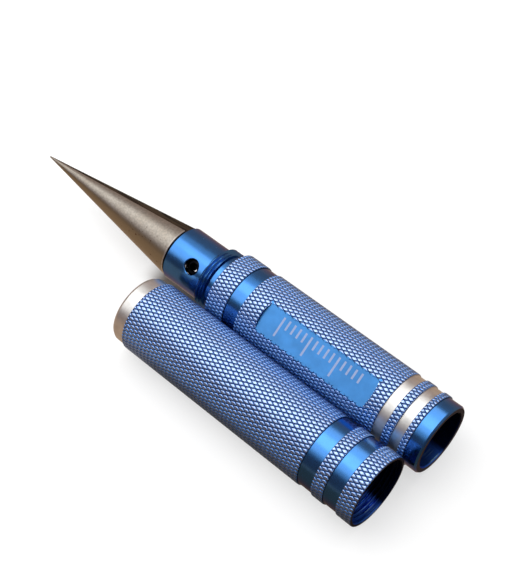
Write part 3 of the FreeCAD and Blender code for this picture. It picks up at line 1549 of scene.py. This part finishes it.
@dataclass(frozen=True)
class Blade:
    """Conical single-flute blade on a round shank with a flat. Stations start at the cone's apex.

    The cone's rows crowd towards the point. A face in the flute is nearer to the axis than the
    inside share of the cone's radius.
    """

    base: float = 7.0
    taper: float = 0.14
    blunt: float = 1.25
    base_edge: float = 0.12
    shank: tuple[float, float] = (4.0, 16.5)
    shank_chamfer: float = 0.5
    seat: float = 3.2
    seat_depth: float = 3.0
    seat_angle: float = SCREW_ANGLE
    edge_angle: float = math.radians(73.0)
    root_angle: float = math.radians(67.3)
    flute_root: float = 0.62
    root_radius: float = 0.2
    root_steps: int = 5
    flute_reach: float = 2.5
    overrun: float = 1.0
    core: float = 0.01
    cone_rows: int = 24
    crowding: float = 1.5
    columns: int = 240
    inside_share: float = 0.985
    crease: float = 25.0

    @property
    def cone(self) -> float:
        """Length of the whole cone."""
        return self.base / self.taper

    @property
    def back(self) -> float:
        """Station of the cone's rear face."""
        return self.cone + self.base_edge

    def axis(self) -> Axis:
        """Finds where the blade lies.

        Returns:
            The axis of the handle, started at the cone's apex.
        """
        shared = Axis.of("handle")
        low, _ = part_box("reamer_blade")
        return Axis(low.x - self.blunt * MM, shared.y, shared.z)

    def build(self) -> bpy.types.Object:
        """Makes the blade.

        Returns:
            The object, without its finishes.
        """
        place = self.axis().place()
        blade = Solid().turned(self.rows()).build("blade_body", place)
        carve(blade, self.flute().build("flute", place), Cut.REMOVE)
        carve(blade, self.seat_cutter().build("seat", place), Cut.REMOVE)
        return blade

    def rows(self) -> list[Row]:
        """Works out the cone and its shank.

        Returns:
            Their rows, from the point to the end of the shank.
        """
        shares = np.linspace(0.0, 1.0, self.cone_rows) ** self.crowding
        lengths = shares * (self.cone - self.blunt) + self.blunt
        outline: Outline = [(self.blunt, self.core)] + [(s, s * self.taper) for s in lengths]
        shank_r, shank_length = self.shank
        end = self.back + shank_length
        outline += [(self.back, self.base - self.base_edge), (self.back, shank_r)]
        outline += [(end - self.shank_chamfer, shank_r), (end, shank_r - self.shank_chamfer)]
        outline += [(end, self.core)]
        return even_rows(outline, self.columns)

    def flute(self) -> Solid:
        """Shapes what the flute removes.

        Returns:
            A straight groove with a rounded root, whose cutting face leans back a little at the edge.
        """
        turns = (self.root_angle - math.pi / 2, self.root_angle, self.edge_angle)
        back, root, edge = [about(turn) for turn in turns]
        climb = root * self.flute_root
        face = (edge - climb).normalized()
        half = back.angle(face) / 2
        out = (back + face).normalized()
        side = quarter_turn(out)
        radius = self.root_radius
        centre = out * (radius / math.sin(half))
        steps = arc(math.pi / 2 - half, self.root_steps)
        rounded = [centre + (side * math.sin(t) - out * math.cos(t)) * radius for t in steps]
        far = self.flute_reach * self.base
        travel = Vector((self.back, 0.0, 0.0)) + climb * (self.taper * self.back)
        return Solid().prism([back * far, *rounded, face * far], travel)

    def seat_cutter(self) -> Solid:
        """Shapes what is milled off over the flat that the set screw presses on.

        Returns:
            A block along the whole shank.
        """
        out = about(self.seat_angle)
        start = Vector((self.back, 0.0, 0.0)) + out * self.seat
        side = quarter_turn(out) * (self.shank[0] + self.overrun)
        top = out * self.seat_depth
        section = [start - side, start + side, start + side + top, start - side + top]
        return Solid().prism(section, Vector((self.shank[1] + self.overrun, 0.0, 0.0)))

    def choose(self, spot: Spot) -> int:
        """Picks the ground steel, or the scale in the flute, or the same dark colour behind the cone
        as painted shade.

        Args:
            spot: The middle of a face.

        Returns:
            The number of the surface's slot.
        """
        # The cone's rear face gets the dark colour as painted shade in the gap before the collar.
        behind = abs(spot.station - self.back) < TOUCH
        on_cone = self.blunt + TOUCH < spot.station < self.back
        inside = spot.radius < self.taper * min(spot.station, self.cone) * self.inside_share
        scale_and_shade = behind or (on_cone and inside)
        return Steel.SCALE_AND_SHADE.value if scale_and_shade else Steel.GROUND.value

    def dress(self, blade: bpy.types.Object) -> None:
        """Gives the blade its finishes and its place in the frame.

        Args:
            blade: The object.
        """
        axis = self.axis()
        looks = [GroundSteel().make("ground_steel", axis), FluteScaleAndShade().make("flute_scale_and_shade", axis)]
        paint(blade, axis, looks, self.choose)
        sharpen(blade, self.crease)
        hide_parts("reamer_blade")
        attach(blade, "blade")


@dataclass(frozen=True)
class SetScrew:
    """Headless screw with a hexagon socket, built outwards along its own axis."""

    station: float = SCREW_STATION
    angle: float = SCREW_ANGLE
    inner: float = 3.23
    length: float = 3.0
    crest: float = 1.95
    root: float = 1.6
    pitch: float = SCREW_PITCH
    chamfer: float = 0.35
    across_flats: float = 2.0
    socket: float = 1.6
    overrun: float = 1.0
    core: float = 0.02
    columns: int = 72
    crease: float = 28.0

    def build(self) -> bpy.types.Object:
        """Makes the screw.

        Returns:
            The object, without its finish.
        """
        radial = Axis.of("handle").radial(self.station, self.angle)
        outer = self.inner + self.length
        foot = self.crest - self.chamfer
        thread = Thread(self.inner, outer, self.pitch, self.root, self.crest, foot, foot)
        first, last = [Row.even(end, self.core, self.columns) for end in (self.inner, outer)]
        rows = [first, *thread.rows(self.columns), last]
        screw = Solid().turned(rows).build("set_screw_body", radial)
        corner = self.across_flats / math.sqrt(3)
        turns = [math.radians(60 * i) for i in range(6)]
        start = outer - self.socket
        section = [Vector((start, corner * math.cos(t), corner * math.sin(t))) for t in turns]
        key = Solid().prism(section, Vector((self.socket + self.overrun, 0.0, 0.0)))
        carve(screw, key.build("key", radial), Cut.REMOVE)
        return screw

    def dress(self, screw: bpy.types.Object) -> None:
        """Gives the screw its finish and its place in the frame.

        Args:
            screw: The object.
        """
        axis = Axis.of("handle")
        paint(screw, axis, [BlackOxide().make("black_oxide", axis)], lambda spot: 0)
        sharpen(screw, self.crease)
        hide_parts("set_screw")
        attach(screw, "screw")


# ----------------------------------------------------------------------------------------------
# Studio
# ----------------------------------------------------------------------------------------------


@dataclass(frozen=True)
class Panel:
    """Soft white lamp that faces the object, with its angles in degrees."""

    lean: float
    sweep: float
    turn: float
    distance: float
    size: tuple[float, float]
    radiance: float

    def direction(self) -> Vector:
        """Finds where the lamp stands.

        Returns:
            Its direction from the object: lean is towards -X, and sweep is about X from +Y.
        """
        lean, sweep = math.radians(self.lean), math.radians(self.sweep)
        flat = math.cos(lean)
        return Vector((-math.sin(lean), flat * math.cos(sweep), flat * math.sin(sweep)))

    def light(self, name: str, target: Vector) -> None:
        """Adds the lamp.

        Args:
            name: Its name.
            target: The point that it faces.
        """
        lamp = bpy.data.lights.new(name, "AREA")
        lamp.shape = "RECTANGLE"
        lamp.size, lamp.size_y = self.size
        lamp.energy = self.radiance * math.pi * self.size[0] * self.size[1]
        made = bpy.data.objects.new(name, lamp)
        out = self.direction()
        across = Vector((0.0, 1.0, 0.0)).cross(out).normalized()
        facing = Matrix((across, out.cross(across), out)).transposed().to_4x4()
        spun = facing @ Matrix.Rotation(math.radians(self.turn), 4, "Z")
        made.matrix_world = Matrix.Translation(target + out * self.distance) @ spun
        bpy.context.scene.collection.objects.link(made)


@dataclass(frozen=True)
class Studio:
    """Pale floor, soft lamps overhead and a warm workbench that only reflections see."""

    white: Colour = (1.0, 1.0, 1.0)
    dish_columns: int = 96
    floor_radius: float = 4.0
    floor_inner: float = 2.0
    floor_rise: float = 1.6
    paper: Colour = (0.9, 0.9, 0.9)
    paper_lift: float = 0.55
    gap_shade: Colour = (0.12, 0.095, 0.08)
    gap_strength: float = 0.9
    gap_along: tuple[Range, Range] = ((-0.026, -0.018), (0.02, 0.0))
    gap_across: tuple[Range, Range] = ((0.0, 0.004), (0.016, 0.012))
    world_level: float = 0.85
    bench_radius: float = 1.1
    bench_height: float = 0.95
    bench_gap: float = 0.00015
    lit_wall: Colour = (0.48, 0.35, 0.31)
    shaded_wall: Colour = (0.2, 0.135, 0.135)
    wall_blend: Range = (-0.3, 0.3)
    wall_foot: Range = (0.001, 0.1)
    lit_bench: Colour = (0.63, 0.44, 0.31)
    shaded_bench: Colour = (0.24, 0.16, 0.1)
    bench_ahead: Range = (0.0, -0.012)
    bench_aside: Range = (-0.01, 0.01)
    panels: tuple[Panel, ...] = (
        Panel(lean=30.0, sweep=104.6, turn=-74.0, distance=0.4, size=(0.415, 0.48), radiance=1.45),
        Panel(lean=5.4, sweep=73.4, turn=-15.5, distance=0.42, size=(0.275, 0.545), radiance=1.6),
    )

    def build(self) -> None:
        """Adds the floor, the bench, the world and the lamps."""
        low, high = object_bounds()
        middle = (Vector(low) + Vector(high)) / 2
        ground = Vector((middle.x, middle.y, low[2]))
        self.floor(ground)
        self.surround(ground)
        self.world()
        for number, panel in enumerate(self.panels):
            panel.light(f"panel_{number}", middle)

    def dish(self, name: str, centre: Vector, outline: Outline) -> bpy.types.Object:
        """Adds an open round mesh to the stage.

        Args:
            name: The object's name.
            centre: The middle of its bottom.
            outline: (radius, height) points, outwards from the middle.

        Returns:
            The object.
        """
        count = self.dish_columns
        points = [centre]
        faces = []
        for radius, height in outline:
            for i in range(count):
                turn = 2 * math.pi * i / count
                spot = Vector((radius * math.cos(turn), radius * math.sin(turn), height))
                points.append(centre + spot)
        for i in range(count):
            j = (i + 1) % count
            faces.append((0, 1 + i, 1 + j))
            for ring in range(len(outline) - 1):
                near, far = 1 + ring * count, 1 + (ring + 1) * count
                faces.append((near + i, far + i, far + j, near + j))
        mesh = bpy.data.meshes.new(name)
        mesh.from_pydata(points, [], faces)
        mesh.shade_smooth()
        made = bpy.data.objects.new(name, mesh)
        bpy.context.scene.collection.objects.link(made)
        made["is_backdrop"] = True
        return made

    def floor(self, ground: Vector) -> None:
        """Adds the floor, which curves up into the backdrop and has painted shade in the gap between
        the pieces.

        Args:
            ground: The middle of the floor.
        """
        bend = [math.radians(10 * i) for i in range(10)]
        rise = self.floor_rise
        curve = [(self.floor_radius + rise * math.sin(t), rise * (1 - math.cos(t))) for t in bend]
        made = self.dish("floor", ground, [(self.floor_inner, 0.0), *curve])
        material = bpy.data.materials.new("floor_paper")
        graph = Graph(material)
        _, along, across, _ = graph.place()
        # Painted shade: in the gap under the collar the floor is darkened and loses its lift.
        gap = along.between(*self.gap_along) * across.between(*self.gap_across)
        colour = graph.mix(gap * self.gap_strength, self.paper, self.gap_shade)
        paper = graph.node("ShaderNodeBsdfDiffuse", {}, {"Color": colour})
        factor = graph.shown() * self.paper_lift * (1.0 - gap)
        inputs = {0: factor, 1: paper, 2: graph.glow(self.white)}
        graph.surface(graph.node("ShaderNodeMixShader", {}, inputs))
        made.data.materials.append(material)

    def surround(self, ground: Vector) -> None:
        """Adds the warm surround that metal reflects, unseen by the camera and by other light.

        Args:
            ground: The middle of the floor.
        """
        side = [(self.bench_radius, 0.0), (self.bench_radius, self.bench_height)]
        made = self.dish("bench_card", ground + Vector((0.0, 0.0, self.bench_gap)), side)
        material = bpy.data.materials.new("bench_card")
        graph = Graph(material)
        _, ahead, across, height = graph.place()
        lit = ahead.step(*self.bench_ahead).maths("MAXIMUM", across.step(*self.bench_aside))
        bench = graph.mix(lit, self.shaded_bench, self.lit_bench)
        wall = graph.mix(across.step(*self.wall_blend), self.shaded_wall, self.lit_wall)
        graph.surface(graph.glow(graph.mix(height.step(*self.wall_foot), bench, wall)))
        made.data.materials.append(material)
        made.visible_camera = False
        made.visible_diffuse = False
        made.visible_shadow = False

    def world(self) -> None:
        """Adds an even pale sky, pure white where the camera or a reflection sees it."""
        world = bpy.data.worlds.new("studio")
        graph = Graph(world)
        strength = self.world_level + graph.shown() * (1.0 - self.world_level)
        inputs = {"Color": rgba(self.white), "Strength": strength}
        graph.surface(graph.node("ShaderNodeBackground", {}, inputs), "ShaderNodeOutputWorld")
        bpy.context.scene.world = world


@dataclass(frozen=True)
class Viewpoint:
    """Camera above the mouth of the cap, looking down over both pieces."""

    aim: tuple[float, float, float] = (0.00577, 0.01369, 0.0)
    distance: float = 0.30177
    heading: float = math.radians(136.58)
    dip: float = math.radians(54.87)
    roll: float = math.radians(-5.13)
    lens: float = 87.02
    sensor: float = 36.0
    clip: Range = (0.01, 20.0)

    def place(self) -> None:
        """Adds the camera, aimed at a point beside the middle of the part."""
        low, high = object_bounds()
        target = (Vector(low) + Vector(high)) / 2 + Vector(self.aim)
        flat = math.cos(self.dip)
        look = Vector((flat * math.cos(self.heading), flat * math.sin(self.heading),
                       -math.sin(self.dip)))
        camera = bpy.data.cameras.new("camera")
        camera.lens = self.lens
        camera.sensor_fit = "HORIZONTAL"
        camera.sensor_width = self.sensor
        camera.clip_start, camera.clip_end = self.clip
        made = bpy.data.objects.new("camera", camera)
        level = look.to_track_quat("-Z", "Y").to_matrix().to_4x4()
        tilt = Matrix.Rotation(self.roll, 4, "Z")
        made.matrix_world = Matrix.Translation(target - look * self.distance) @ level @ tilt
        bpy.context.scene.collection.objects.link(made)
        bpy.context.scene.camera = made


def main() -> None:
    """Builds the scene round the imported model."""
    logging.basicConfig(level=logging.INFO, format="%(name)s: %(message)s")
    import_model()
    for piece in (Handle(), Cap(), Blade(), SetScrew()):
        made = piece.build()
        piece.dress(made)
        LOG.info("%s: %d faces", made.name, len(made.data.polygons))
    Studio().build()
    Viewpoint().place()
    bpy.context.scene.view_settings.view_transform = "Standard"


if __name__ == "__main__":
    main()
